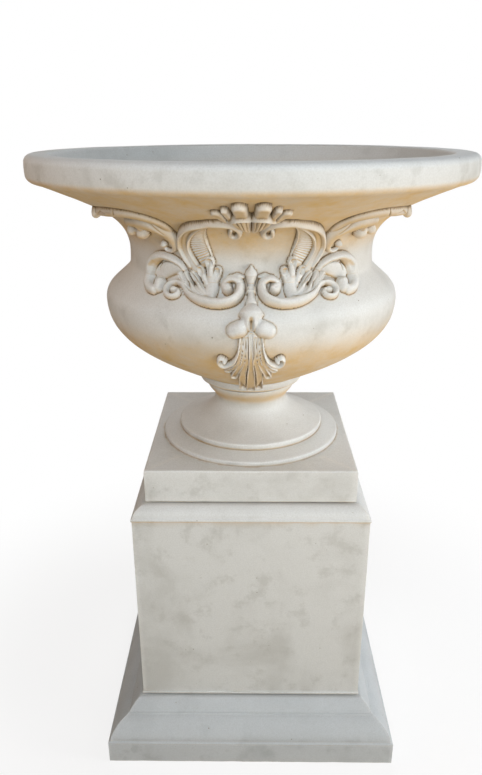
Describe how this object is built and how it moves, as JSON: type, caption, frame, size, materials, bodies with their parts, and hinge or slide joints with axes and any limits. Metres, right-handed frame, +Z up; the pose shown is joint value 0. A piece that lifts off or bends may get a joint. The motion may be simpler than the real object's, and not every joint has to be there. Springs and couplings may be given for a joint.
{
  "type": "garden urn on pedestal",
  "caption": "Cast-stone campana garden urn with scroll and shell ornament on a flared foot, standing on a square moulded pedestal.",
  "frame": {"origin": "middle of the pedestal's underside", "axes": "+Z up along the urn's axis, the decorated front faces -Y, +X to the right seen from the front"},
  "size_m": [0.83, 0.83, 1.2213],
  "materials": {
    "cast_stone": "weathered cream cast stone, matt",
    "pressed_stone": "cream pressed stone with a brown wash in the recesses",
    "mortar": "dark recessed mortar",
    "zinc_steel": "galvanised",
    "rubber": "matt black"
  },
  "bodies": {
    "pedestal": {"base_mortar_bed": "mortar", "pedestal_base": "cast_stone", "pedestal_die": "cast_stone", "setting_pad_back_left": "rubber", "setting_pad_back_right": "rubber", "setting_pad_front_left": "rubber", "setting_pad_front_right": "rubber"},
    "urn": {"back_acanthus_scroll_left": "pressed_stone", "back_acanthus_scroll_right": "pressed_stone", "back_cartouche_band_left": "pressed_stone", "back_cartouche_band_right": "pressed_stone", "back_crest_shell": "pressed_stone", "back_finial": "pressed_stone", "back_outer_scroll_left": "pressed_stone", "back_outer_scroll_right": "pressed_stone", "back_shell_pendant": "pressed_stone", "back_side_leaf_left": "pressed_stone", "back_side_leaf_right": "pressed_stone", "bowl": "cast_stone", "drain_tube": "zinc_steel", "foot_mortar_ring": "mortar", "front_acanthus_scroll_left": "pressed_stone", "front_acanthus_scroll_right": "pressed_stone", "front_cartouche_band_left": "pressed_stone", "front_cartouche_band_right": "pressed_stone", "front_crest_shell": "pressed_stone", "front_finial": "pressed_stone", "front_outer_scroll_left": "pressed_stone", "front_outer_scroll_right": "pressed_stone", "front_shell_pendant": "pressed_stone", "front_side_leaf_left": "pressed_stone", "front_side_leaf_right": "pressed_stone", "lower_nut": "zinc_steel", "lower_washer": "zinc_steel", "rubber_seal": "rubber", "upper_nut": "zinc_steel", "upper_washer": "zinc_steel", "urn_foot": "cast_stone"}
  },
  "joints": [
    {"name": "urn_lift", "type": "slide", "parent": "pedestal", "child": "urn", "axis": [0, 0, 1], "range_m": [0, 0.1]}
  ]
}
